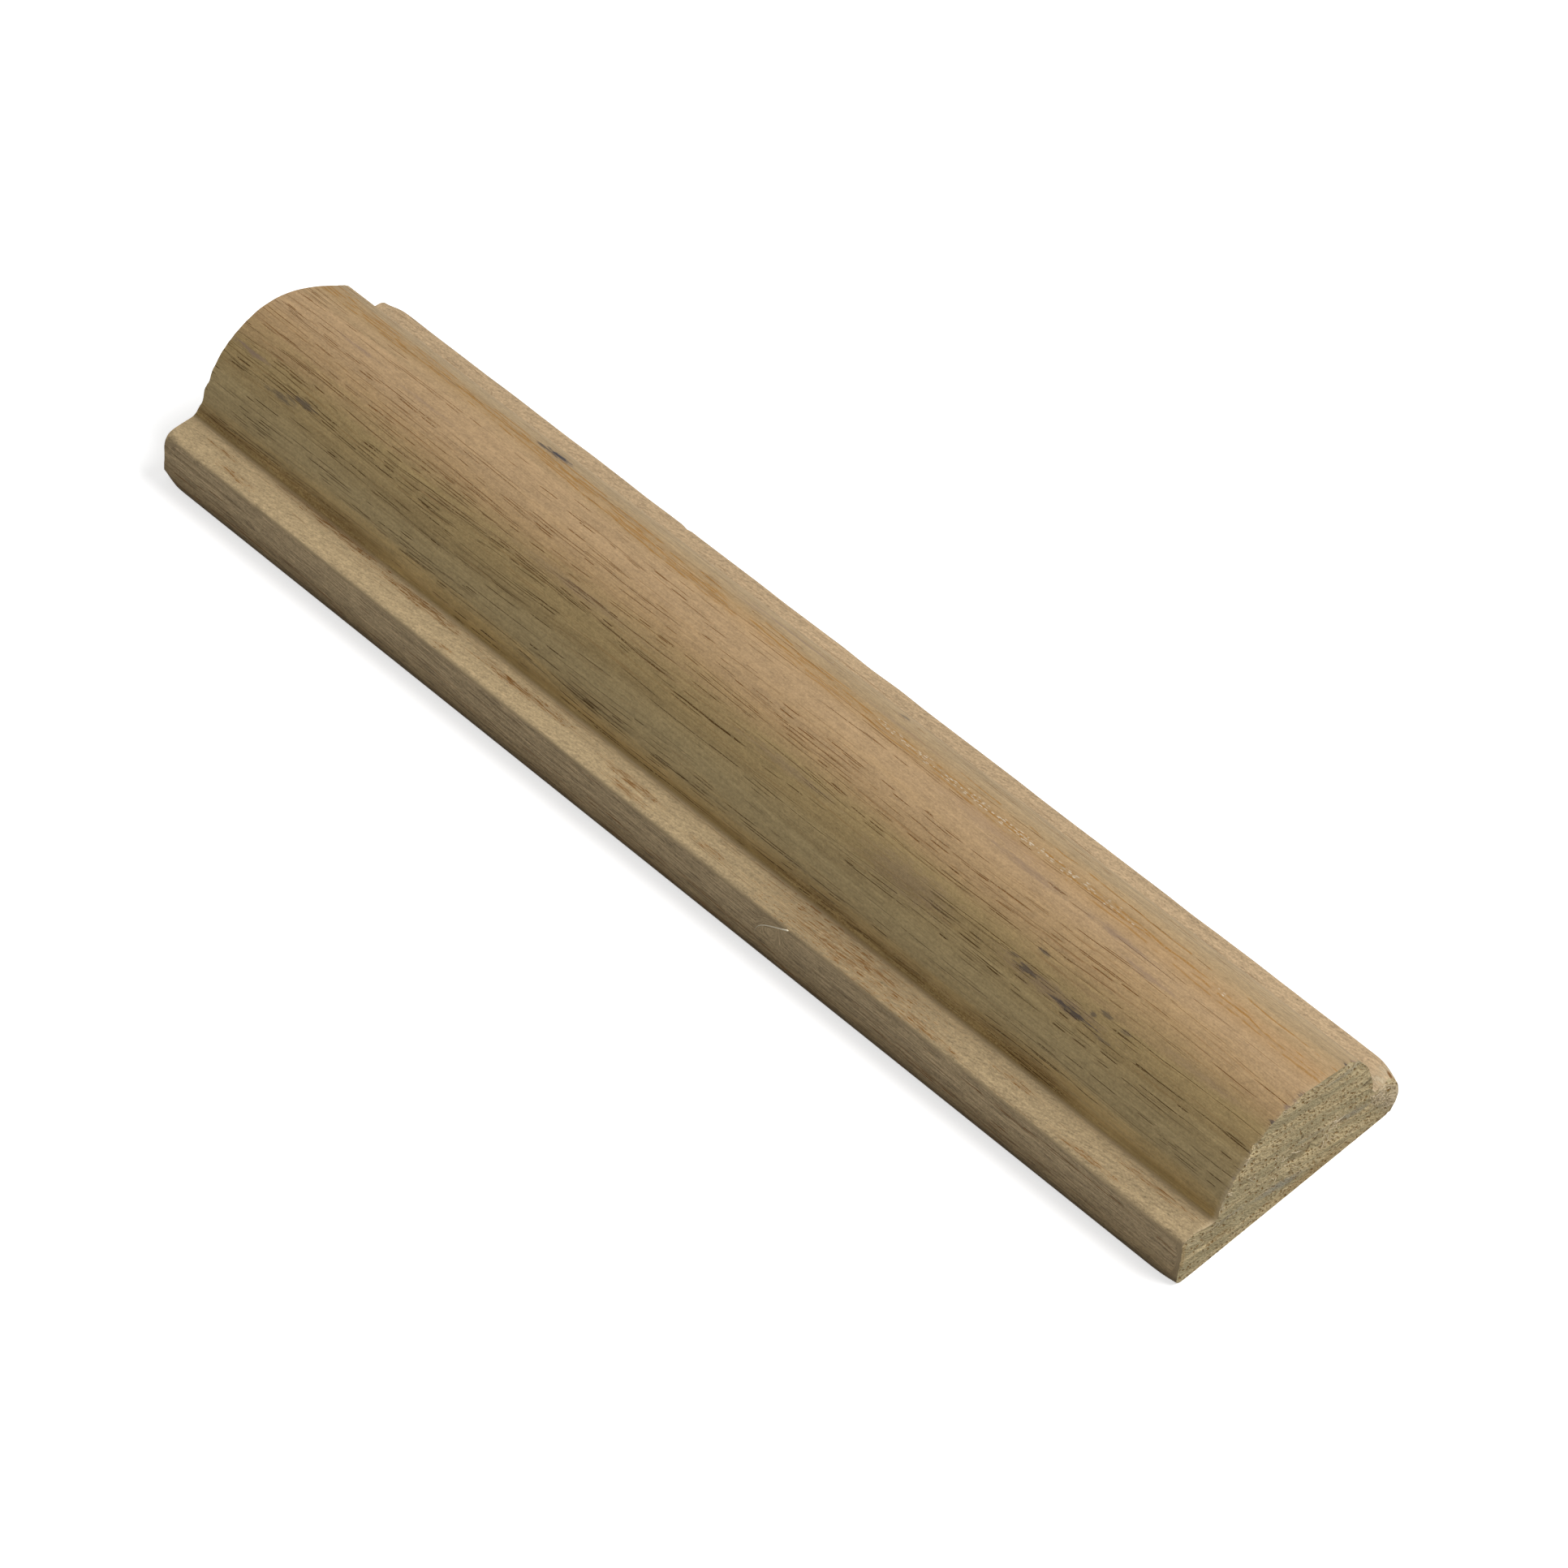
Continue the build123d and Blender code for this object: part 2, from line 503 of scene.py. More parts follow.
class Finish(Nodes):
    """One material, with the patterns that paint it."""

    def __init__(self, name):
        self.material = bpy.data.materials.new(name)
        self.material.use_nodes = True
        super().__init__(self.material.node_tree)

    def place(self):
        """The point on the piece in millimetres, and its three coordinates."""
        at = self.node("ShaderNodeTexCoord", output="Object")
        point = self.node("ShaderNodeMapping", {"vector_type": "POINT"},
                          {"Vector": at, "Scale": (1 / MM, 1 / MM, 1 / MM)})
        axes = self.node("ShaderNodeSeparateXYZ", {}, {"Vector": point})
        return point, axes, axes.out("Y"), axes.out("Z")

    def sheet(self, along, across):
        """A point on a flat sheet, from its two coordinates."""
        return self.node("ShaderNodeCombineXYZ", {}, {"X": along, "Y": across})

    def stretched(self, point, sizes, shift=0.0, lean=0.0):
        """The point counted in steps of the given sizes, turned in the sheet by an angle."""
        return self.node("ShaderNodeMapping", {"vector_type": "TEXTURE"},
                         {"Vector": point, "Scale": (*sizes, 1.0)[:3],
                          "Rotation": (0.0, 0.0, lean),
                          "Location": (shift, shift * 1.7, shift * 2.3)})

    def noise(self, point, sizes, shift, detail=2.0, roughness=0.5, lean=0.0):
        """Noise about 0.5 in patches of the given sizes, as a value."""
        return self.node("ShaderNodeTexNoise", {"noise_dimensions": "3D"},
                         {"Vector": self.stretched(point, sizes, shift, lean), "Scale": 1.0,
                          "Detail": detail, "Roughness": roughness}, "Fac")

    def step(self, value, start, end):
        """0 before start, 1 after end, and a smooth rise between them."""
        return self.node("ShaderNodeMapRange", {"interpolation_type": "SMOOTHSTEP"},
                         {"Value": value, "From Min": start, "From Max": end,
                          "To Min": 0.0, "To Max": 1.0})

    def mix(self, below, above, share):
        """A colour between two, by a share from 0 to 1."""
        return self.node("ShaderNodeMix", {"data_type": "RGBA"},
                         {"Factor_Float": share, "A_Color": below, "B_Color": above},
                         "Result_Color")

    def shade(self, colour, share):
        """A colour made darker or lighter by a factor that changes over the surface."""
        grey = self.node("ShaderNodeCombineXYZ", {}, {"X": share, "Y": share, "Z": share})
        return self.node("ShaderNodeVectorMath", {"operation": "MULTIPLY"},
                         {0: colour, 1: grey}, "Vector")

    def slits(self, sheet, sizes, long, thin, kept, shift, lean=0.0):
        """Long thin pores, as a mask.

        Voronoi cells of the given sizes cover the sheet, and a pore is a line of even
        thickness through the random middle of its cell. Long and thin are its half sizes,
        as shares of the cell's. Only cells whose random number is below the kept share have
        a pore, and its length and strength are random too.
        """
        at = self.stretched(sheet, sizes, shift, lean)
        middle = self.node("ShaderNodeTexVoronoi",
                           {"voronoi_dimensions": "2D", "feature": "F1"},
                           {"Vector": at, "Scale": 1.0, "Randomness": 1.0}, "Position")
        apart = self.node("ShaderNodeVectorMath", {"operation": "SUBTRACT"},
                          {0: at, 1: middle}, "Vector")
        along = self.node("ShaderNodeSeparateXYZ", {}, {"Vector": apart})
        chance = self.node("ShaderNodeSeparateColor", {}, {"Color": middle.out("Color")})
        line = self.step(abs(along.out("Y")), thin * 1.5, thin * 0.6)
        reach = abs(along) / (0.45 + 0.75 * chance.out("Green"))
        line = line * self.step(reach, long * 1.2, long * 0.6)
        strength = self.step(kept - chance, 0.0, 0.05) * (0.35 + 0.75 * chance.out("Blue"))
        return line * strength

    def patch(self, point, centre, sizes, ragged, edge=0.5):
        """A soft-edged ellipsoid whose edge is ragged by a noise: 1 inside and 0 outside."""
        local = self.node("ShaderNodeMapping", {"vector_type": "TEXTURE"},
                          {"Vector": point, "Location": centre, "Scale": sizes})
        far = self.node("ShaderNodeVectorMath", {"operation": "LENGTH"}, {0: local}, "Value")
        return self.step(far + ragged, 1.0, 1.0 - edge)

    def marks(self, point, places, ragged, edge):
        """The strongest of many patches at each point, from their centres, sizes, strengths."""
        shown = 0.0
        for centre, sizes, strength in places:
            mark = self.patch(point, centre, sizes, ragged, edge)
            shown = (mark * strength).maths("MAXIMUM", shown)
        return shown

    def surface(self, colour, roughness, height=None, depth=0.0001):
        """Closes the material with a Principled shader and a bump."""
        inputs = {"Base Color": colour, "Roughness": roughness, "Specular IOR Level": GLOSS}
        if height is not None:
            inputs["Normal"] = self.node("ShaderNodeBump", {},
                                         {"Strength": 1.0, "Distance": depth,
                                          "Height": height}, "Normal")
        shader = self.node("ShaderNodeBsdfPrincipled", {}, inputs, "BSDF")
        self.node("ShaderNodeOutputMaterial", {}, {"Surface": shader})
        return self.material


def set_stops(ramp, stops):
    """Gives a colour ramp its stops, each a place from 0 to 1 and a colour."""
    while len(ramp.elements) < len(stops):
        ramp.elements.new(1.0)
    for element, (place, colour) in zip(ramp.elements, stops):
        element.position = place
        element.color = colour


def on_bead(sizes, x, degrees):
    """The place in millimetres on the bead's surface, at an angle from +Y up over the crown."""
    turn = math.radians(degrees)
    radius = sizes.bead_radius / MM
    return (x, radius * math.cos(turn), sizes.height / MM - radius + radius * math.sin(turn))


# Marks on the bead: X in millimetres, angle from +Y up over the crown in degrees, half length
# and half width in millimetres, and how dark. The first list is blue-black, the second mauve.
STAINS = (
    (-50, 58.5, 3.0, 1.1, 1.0), (-52.5, 61, 2.0, 0.6, 0.8), (-82, 131.5, 3.0, 0.6, 0.65),
    (-86, 136, 3.4, 0.6, 0.55), (-84, 134, 1.6, 0.6, 0.45), (57, 132, 2.6, 0.55, 0.62),
    (54.5, 130, 1.4, 0.4, 0.45), (66, 134.4, 4.6, 0.60, 0.78), (71.5, 136.5, 1.6, 0.35, 0.4),
    (70, 125.5, 1.6, 0.4, 0.55), (68.5, 129.5, 0.7, 0.4, 0.6), (57.5, 120.5, 1.2, 0.35, 0.6),
    (73.5, 127, 1.2, 0.4, 0.4), (16, 53, 1.2, 0.8, 0.55),
    (97.3, 117.6, 0.9, 0.6, 0.95), (97.3, 98.5, 0.7, 0.8, 0.65), (97.3, 63.4, 0.6, 0.5, 0.85),
)
SMUDGES = (
    (40, 86, 15.0, 1.6, 0.30), (47, 92, 9.0, 1.0, 0.45), (63, 91, 8.0, 0.8, 0.55),
    (70, 98.5, 6.0, 0.6, 0.50), (-82, 89.5, 5.0, 0.5, 0.55), (-68, 92, 8.0, 0.4, 0.35),
    (-5, 57, 14.0, 0.6, 0.60), (-12, 61, 9.0, 0.5, 0.35), (62, 133, 13.0, 1.4, 0.40),
    (36, 133, 11.0, 3.2, 0.30), (97.3, 108, 1.0, 0.7, 0.9), (97.3, 103, 0.7, 0.6, 0.7),
    (-94, 127, 5.0, 0.5, 0.75), (97.2, 54, 0.9, 1.2, 0.7), (20, 66, 12.0, 0.5, 0.35),
    (97.3, 149.6, 0.6, 0.5, 0.6), (86, 121, 9.0, 0.9, 0.25), (-30, 121, 16.0, 0.9, 0.25),
    (12, 126, 12.0, 1.0, 0.3),
)
# Rusty patches on the front ledge: X, Y, half length and half width in millimetres, strength
RUST = (
    (-28, -18.5, 11.0, 0.45, 0.75), (-7, -19.2, 7.0, 0.50, 0.60), (-85, -20.4, 4.0, 0.35, 0.55),
    (-42, -21.3, 2.5, 0.30, 0.60), (-68, -16.9, 14.0, 0.50, 0.60), (-50, -17.6, 11.0, 0.55, 0.70),
    (-6, -20.9, 5.0, 0.35, 0.50), (9, -20.0, 4.0, 0.35, 0.50), (38, -18.8, 7.0, 0.40, 0.55),
    (34, -19.2, 19.0, 2.60, 0.42), (49, -21.2, 7.0, 0.40, 0.55), (65, -18.5, 5.0, 0.35, 0.50),
    (79, -21.0, 7.0, 0.30, 0.50), (88, -18.0, 8.0, 0.45, 0.45), (-90, -18.3, 4.0, 0.30, 0.4),
)


def planed_wood(sizes, colours):
    """The planed faces: zones of colour round the section, streaks, pores, ochre and stains."""
    finish = Finish("planed_hardwood")
    step, mix, slits = finish.step, finish.mix, finish.slits
    point, x, y, z = finish.place()
    radius = sizes.bead_radius / MM
    centre = sizes.height / MM - radius
    turn = (z - centre).maths("ARCTAN2", y) * (180 / math.pi)
    mm_per_degree = math.pi * radius / 180
    ledge = step(z, 9.7, 9.3)
    side = step(abs(y), 22.05, 22.35)
    ledge_only = ledge * (1 - side)
    bead = 1 - ledge
    front = step(y, 5.0, -5.0)

    # The faces rolled out into one sheet, on which the grain wanders a little
    across = turn * mm_per_degree
    across = across + (y - across) * ledge
    across = across + (z + 60 - across) * side + x * side * 0.032
    flat = finish.sheet(x, across)
    drift = finish.noise(flat, (55, 9), 0, 1.0) - 0.5
    kink = finish.noise(flat, (5, 0.9), 2, 2.0) - 0.5
    grain = finish.sheet(x, across + drift * 3.0 + kink * 0.22)
    broad = finish.noise(grain, (42, 2.0), 3, 3.0, 0.6)
    streak = finish.noise(grain, (13, 0.50), 5, 4.0, 0.65)
    hair = finish.noise(grain, (4.0, 0.22), 7, 3.0, 0.75)
    grit = finish.noise(flat, (0.38, 0.28), 9, 2.0, 0.7)
    mottle = finish.noise(flat, (1.3, 0.60), 12, 2.0, 0.6)
    ragged = finish.noise(grain, (2.4, 0.17), 23, 3.0, 0.6)
    torn_up = step(ragged, 0.44, 0.56)
    silk = finish.noise(flat, (1.5, 0.34), 10, 2.0, 0.6, 0.30)

    # Zones of colour, by the direction that the surface faces on the bead: the wood's own layers,
    # with painted shade on the upper flank and painted light on the lower flank and foot
    shifted = turn + (broad - 0.5) * 22 + (streak - 0.5) * 10 + drift * 10
    zones = finish.node("ShaderNodeValToRGB", {"stops": [
        (degrees / 180, colour) for degrees, colour in (
            (45, colours.rear_cream), (57, colours.rear_cream), (69, colours.band_tan),
            (83, colours.crown_tan), (95, colours.crown_tan), (113, colours.shoulder_brown),
            (127, colours.flank_dark_shaded), (137, colours.flank_dark_shaded), (153, colours.flank_olive_lit),
            (160, colours.flank_olive_lit), (168, colours.foot_brown_lit), (176, colours.foot_dark),
        )]}, {"Fac": shifted / 180}, "Color")
    flats = mix(colours.rear_ledge, colours.ledge_cream, front)
    zones = mix(zones, flats, ledge)
    zones = mix(zones, colours.side_brown, side)
    # Painted shade: the sides grow darker towards the back
    zones = mix(zones, colours.side_low_shaded, side * step(z, 6.0, 1.8))

    # Streaks along the grain, finer and finer, and strongest on the ledges and sides
    tone = (broad - 0.5) * 0.35 + (streak - 0.5) * 0.48 + (hair - 0.5) * (0.65 + 1.10 * side)
    tone = tone + (grit - 0.5) * (0.75 + 0.45 * ledge_only) + (silk - 0.5) * ledge_only * 0.90
    behind = step(turn, 68, 54) * bead
    tone = tone + (mottle - 0.5) * 0.42 * bead + (streak + hair * 0.6 - 0.8) * 0.7 * behind
    foot = step(turn, 158, 166) * bead
    patchy = finish.noise(flat, (12, 2.2), 51, 3.0, 0.6)
    tone = (tone + (patchy - 0.5) * 1.1 * foot) * (0.9 + 0.5 * side)
    # Painted shade: the lowest millimetres of the sides are darkened, as the back arris and the
    # floor would shade them
    low_side_shade = step(z, 2.4, 1.0) * step(abs(y), 20.9, 22.0)
    # Along the front ledge: darker towards the near end, and painted light next to the bead's
    # foot, lifting the shade that the bead casts there
    ledge_tone_and_lift = step(x, -20, 45) * 0.14 - step(abs(y), 19.5, 16.8) * 0.16
    ledge_tone_and_lift = ledge_tone_and_lift * ledge_only * front
    colour = finish.shade(zones, (tone - ledge_tone_and_lift + 1.0) * (1 - low_side_shade * 0.6))

    # Thin brown lines, thick on the shoulder and on the sides
    shoulder = step(turn, 88, 106) * (1 - 0.45 * step(turn, 132, 148)) * bead
    lines = finish.noise(grain, (16, 0.24), 21, 5.0, 0.7)
    thin = step(lines, 0.55, 0.66) * (0.05 + 0.30 * shoulder)
    colour = mix(colour, colours.line_brown, thin)
    slant = finish.noise(grain, (24, 0.34), 25, 4.0, 0.6)
    slant = step(slant, 0.55, 0.68) * side * (1 - step(x, 60, 85) * 0.6)
    colour = mix(colour, colours.pore_brown, slant * 0.45)

    # Darker brown patches along the crease at the foot of the bead
    crease_dark = step(abs(abs(y) - 16.3), 1.2, 0.2) * step(z, 11.5, 9.4)
    crease_dark = crease_dark * step(broad + (streak - 0.5) + (grit - 0.5), 0.40, 0.62)
    colour = mix(colour, colours.foot_crease_brown, crease_dark * 0.38)

    # Rust on the front ledge: placed patches, broken into streaks, dashes and specks
    specks = (0.5 - lines) * 2.6 + (0.5 - silk) * 1.6 + (0.5 - grit) * 1.8
    rust = finish.marks(point, [((x_at, y_at, 9.0), (long, wide * 1.4 + 0.2, 3.0), strength)
                                for x_at, y_at, long, wide, strength in RUST], specks, 0.8)
    rust = rust * ledge_only * (0.25 + 0.95 * torn_up)
    dashes = slits(grain, (1.9, 0.34), 0.45, 0.24, rust * 1.7, 45)
    dashes = dashes.maths("MAXIMUM", slits(grain, (3.6, 0.30), 0.45, 0.22, rust * 1.5, 47))
    colour = mix(colour, colours.ochre, rust * 0.95)
    colour = mix(colour, colours.line_brown, dashes * 0.90)
    brown = step(abs(x - 45), 34, 22).maths("MAXIMUM", step(x, -55, -68))
    brown = brown * step(abs(turn - 171), 9, 2) * bead
    brown = brown * step(streak + grit - 0.5, 0.38, 0.56) * (0.4 + 0.6 * torn_up)
    colour = mix(colour, colours.foot_crease_brown, brown * 0.65)

    # Wavy rusty lines along the crown, each coming and going
    off = (turn - (74.0 + x * 0.105)) * mm_per_degree + drift * 2.5 + kink * 0.7
    near_band = step(abs(off), 3.4, 0.6)
    colour = mix(colour, colours.vein, near_band * 0.20)
    veins = 0.0
    far_half = step(x, 25, -5)
    for place, seed, weight in ((-3.1, 31, step(x, 5, 40)), (-1.9, 32, far_half),
                                (-0.95, 33, 1.0), (-0.45, 34, far_half), (-0.1, 35, 1.0),
                                (0.4, 36, far_half), (0.85, 37, 0.8), (1.5, 38, far_half)):
        wave = finish.noise(flat, (8, 40), seed, 2.0) - 0.5
        shown = finish.noise(flat, (6, 3), seed + 0.5, 3.0, 0.6)
        line = step(abs(off - place + wave * 1.3), 0.24, 0.06)
        line = line * step(shown, 0.44, 0.54) * weight
        veins = line.maths("MAXIMUM", veins)
    veins = veins * step(grit, 0.30, 0.48)
    colour = mix(colour, colours.vein, veins * 0.9)

    # Open pores, thick on the shoulder and thin on the crown, gathered in rows and broken
    rows = finish.noise(grain, (50, 1.1), 15, 1.0)
    kept = 0.06 + 0.16 * shoulder + 0.05 * side + (rows - 0.5) * 1.5
    kept = kept - step(x, 66, 82) * 0.13
    broken = step(grit, 0.34, 0.46)
    pores = slits(grain, (17.0, 0.52), 0.46, 0.09, kept + 0.08, 11)
    for size, thick, more, shift in (((8.0, 0.40), 0.12, 0.0, 17), ((4.2, 0.44), 0.14, -0.03, 27)):
        pores = pores.maths("MAXIMUM", slits(grain, size, 0.45, thick, kept + more, shift))
    pores = pores * broken * (1 - 0.5 * ledge_only)
    inside = step(turn + (streak - 0.5) * 40, 108, 132) * bead
    inside = mix(colours.line_brown, colours.pore_brown, inside)
    colour = mix(colour, inside, pores * 0.95)

    # Chalk in the pores of the band, in clusters
    clusters = finish.noise(flat, (9, 5), 41, 1.0)
    clusters = clusters + step(abs(x - 36), 26, 14) * 0.16 - 0.04
    chalky = step(abs(off + 0.5), 1.0, 0.3) * step(clusters, 0.52, 0.62)
    chalky = chalky * (0.12 + 0.88 * step(x, 2, 16))
    chalk = slits(grain, (1.0, 0.28), 0.35, 0.30, chalky * 0.6, 19)
    colour = mix(colour, colours.chalk, chalk * 0.5)

    # Mauve smudges and blue-black stains, drawn out along the grain
    fringe = (0.5 - ragged) * 2.3 + (0.5 - mottle) * 1.2
    for marks, paint, edge in ((SMUDGES, colours.smudge, 0.9), (STAINS, colours.stain_blue, 0.7)):
        places = [(on_bead(sizes, x_at, degrees), (long, wide, wide), dark)
                  for x_at, degrees, long, wide, dark in marks]
        colour = mix(colour, paint, finish.marks(point, places, fringe, edge))
    bark = finish.patch(point, (96.9, 21.4, 8.4), (1.3, 0.45, 1.0), fringe * 0.4)
    colour = mix(colour, colours.line_brown, bark * 0.85)

    # Painted highlight along the rounded edges next to the rough cut, and paler wood where the saw
    # tore the last millimetres of the long faces
    edge_highlight = step(x + (grit - 0.5) * 1.6, 96.6, 97.5) * step(turn, 60, 140) * 0.35
    flank_edge_highlight = step(x + (mottle - 0.5) * 1.4, 96.8, 97.4) * step(turn, 128, 150)
    torn = step(x + (grit - 0.5) * 2.4, 94.2, 96.6) * step(y, 15.2, 17.5)
    torn = torn * (0.25 + 0.9 * step(mottle + streak, 0.85, 1.15))
    # The painted highlight and the torn wood together
    pale = edge_highlight.maths("MAXIMUM", flank_edge_highlight * 0.45).maths("MAXIMUM", torn * (1 - bark))
    colour = mix(colour, colours.fuzz_and_highlight_pale, pale)

    height = hair * 0.35 + grit * (0.4 + torn * 3.5) - pores * 0.7
    return finish.surface(colour, 0.72, height, 0.00008)


# Marks on the rough cut: Y, Z, half sizes along and across the rows, and how strong. The
# heights of the first list are counted across the leaning growth rows.
LILAC_BANDS = (
    (-2.0, 4.3, 7.5, 1.25, 0.90), (-12.5, 4.8, 6.0, 0.8, 0.50), (12.4, 11.4, 5.5, 1.2, 0.75),
    (3.0, 11.8, 6.0, 0.7, 0.35), (20.0, 10.2, 4.0, 2.2, 0.25), (8.0, 22.2, 7.0, 0.7, 0.45),
)
GOUGES = (
    (3.9, 7.7, 0.6, 0.6, 0.85), (4.8, 8.9, 0.35, 0.8, 0.6), (3.0, 8.9, 3.0, 1.7, 0.28),
    (-0.8, 9.1, 0.8, 0.35, 0.8), (0.6, 12.7, 0.4, 0.7, 0.6), (-4.6, 10.2, 1.1, 0.3, 0.5),
    (1.7, 6.2, 0.6, 0.25, 0.5), (14.5, 12.9, 2.2, 0.3, 0.5), (11.0, 2.2, 2.6, 0.3, 0.4),
)
# Pale torn wood, partly painted highlights where fibres of the cut catch the light
PALE_AND_HIGHLIGHT_MARKS = (
    (18.6, 7.6, 2.4, 1.9, 0.85), (21.4, 4.8, 2.6, 3.6, 0.80), (8.6, 5.4, 3.2, 0.4, 0.45),
    (14.0, 3.2, 2.4, 0.4, 0.45), (-12.3, 18.6, 0.7, 1.8, 0.55), (-3.0, 12.6, 2.6, 0.3, 0.30),
    (-15.6, 11.5, 0.8, 2.4, 0.35), (-18.5, 7.6, 3.5, 0.9, 0.15),
)
BROWN_MARKS = (
    (6.0, 1.1, 11.0, 1.4, 0.50), (-14.2, 4.4, 3.0, 0.8, 0.40), (-21.8, 6.0, 0.7, 3.5, 0.50),
)


def on_cut(marks):
    """The centre, sizes and strength of each mark, on a sheet that lies in the cut."""
    return [((y, z, 0), (long, wide, 1), strength) for y, z, long, wide, strength in marks]


def sawn_wood(colours):
    """The saw cuts: leaning growth bands, rows of torn pores, and a fine fuzz."""
    finish = Finish("sawn_end_grain")
    step, mix, slits = finish.step, finish.mix, finish.slits
    _, x, y, z = finish.place()
    face = finish.sheet(y, z)
    # The growth rows fall to the right, a little more with every millimetre
    bend = finish.noise(face, (9, 3), 1, 2.0) - 0.5
    across = z + y * 0.24 + y * y * 0.002 + bend * 1.1
    rows = finish.sheet(y, across)
    bands = finish.noise(rows, (22, 1.4), 2, 2.0, 0.5)
    streak = finish.noise(rows, (6.0, 0.42), 4, 2.0, 0.6)
    fibre = finish.noise(rows, (0.9, 0.36), 6, 3.0, 0.65, -0.5)
    fuzz = finish.noise(face, (0.34, 0.28), 8, 2.0, 0.65)
    colour = mix(colours.sawn_grey, colours.sawn_cream, step(bands, 0.40, 0.60))
    tone = (bands - 0.5) * 0.3 + (streak - 0.5) * 0.8 + (fibre - 0.5) * 0.55 + (fuzz - 0.5) * 0.7
    tone = tone * (1 - 0.35 * step(y, -13, -17))
    colour = finish.shade(colour, tone * 0.9 + 1.03)
    warm = step(streak + fibre, 1.04, 0.76) * 0.24
    colour = mix(colour, colours.sawn_brown, warm)

    # Greyer bands along the rows, then pale torn wood with painted highlights, and brown streaks
    fringe = (0.5 - streak) * 1.5 + (0.5 - fuzz) * 0.9 + (0.5 - fibre) * 1.0
    near = step(x, 0, 1)
    for marks, sheet, ragged, paint in ((LILAC_BANDS, rows, fringe * 0.45, colours.sawn_lilac),
                                        (PALE_AND_HIGHLIGHT_MARKS, face, fringe, colours.fuzz_and_highlight_pale),
                                        (BROWN_MARKS, face, fringe, colours.sawn_brown)):
        shown = finish.marks(sheet, on_cut(marks), ragged, 0.7)
        colour = mix(colour, paint, shown * near)

    # Torn pores, leaning steeply and thickest where the bands are pale, then the gouges
    kept = 0.50 + (bands - 0.5) * 2.6 + (streak - 0.5) * 0.8
    pores = slits(face, (1.4, 0.80), 0.36, 0.19, kept, 10, -0.75)
    pores = pores.maths("MAXIMUM", slits(face, (0.9, 0.60), 0.38, 0.22, kept, 14, -0.9))
    pores = pores * step(fuzz, 0.3, 0.5)
    colour = mix(colour, colours.pore_tan, pores * 0.85)
    dark = finish.marks(face, on_cut(GOUGES), fringe, 0.7)
    colour = mix(colour, colours.pore_brown, dark * near)
    height = streak * 0.6 + fibre * 0.8 + fuzz * 0.7 - pores * 0.5 - dark * 1.5
    return finish.surface(colour, 0.85, height, 0.00028)


def tubes(room, starts, directions, lengths, curls, radius, steps=9, bend=2):
    """Many thin curved fibres at once, as closed tubes that end in a point.

    Fibre n at step t stands at start + length * (t * direction + t^bend * curl), and a
    square ring stands round it, whose radius shrinks to nothing at the tip. The rings lie
    across the fibre, spanned by two lines at right angles to its first direction. A fibre
    that would leave the moulding's room is moved back into it as a whole.
    """
    starts, directions, curls = (np.asarray(a, float) for a in (starts, directions, curls))
    lengths = np.asarray(lengths, float)[:, None, None]
    t = np.linspace(0, 1, steps)[None, :, None]
    path = starts[:, None] + lengths * (t * directions[:, None] + t ** bend * curls[:, None])
    across = np.cross(directions, (0.31, 0.17, 0.93))
    across = across / np.linalg.norm(across, axis=1)[:, None]
    other = np.cross(directions, across)
    turn = np.pi * np.arange(4) / 2
    ring = (np.cos(turn)[None, :, None] * across[:, None]
            + np.sin(turn)[None, :, None] * other[:, None])
    size = radius * np.sqrt(np.clip(1 - t, 0.0004, 1))
    vertices = path[:, :, None] + size[..., None] * ring[:, None]

    count = len(starts)
    low = np.array([-room.length / 2, -room.width / 2, 0.0])
    high = np.array([room.length / 2, room.width / 2, room.height])
    least, most = vertices.min(axis=(1, 2)), vertices.max(axis=(1, 2))
    inward = np.clip(low - least, 0, None) - np.clip(most - high, 0, None)
    vertices = vertices + inward[:, None, None]
    numbers = np.arange(count * steps * 4).reshape(count, steps, 4)
    after = np.roll(numbers, -1, axis=2)
    walls = np.stack([numbers[:, :-1], after[:, :-1], after[:, 1:], numbers[:, 1:]], 3)
    ends = np.concatenate([numbers[:, 0, ::-1], numbers[:, -1]])
    return vertices.reshape(-1, 3), np.concatenate([walls.reshape(-1, 4), ends])


def fibre_finish(colours):
    """Loose fibres: pale straw, browner in places, and with painted light at the front arris."""
    finish = Finish("torn_fibres")
    point, _, y, _ = finish.place()
    patches = finish.noise(point, (1.0, 0.8, 0.8), 3, 1.0)
    colour = finish.mix(colours.fibre_straw, colours.pore_tan,
                        finish.step(patches, 0.50, 0.70) * 0.35)
    # Painted light on the fibre at the front arris
    colour = finish.mix(colour, colours.loose_straw_lit, finish.step(y, -21.0, -22.0))
    return finish.surface(colour, 0.8)


class MOULDING_OT_fibres(Operator):
    """Make the torn fibres of the rough cut and the loose one on the front ledge"""

    bl_idname = "moulding.fibres"
    bl_label = "Fibres"

    def execute(self, context):
        sizes = context.scene.moulding_sizes
        finish = fibre_finish(context.scene.moulding_colours)
        for name, maker in (("torn_fibres", torn_fibres), ("loose_fibre", loose_fibre)):
            vertices, faces = maker(sizes)
            fibres = make_object(name, vertices, faces, [finish])
            fibres.data.shade_smooth()
            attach(fibres, "root")
        return {"FINISHED"}


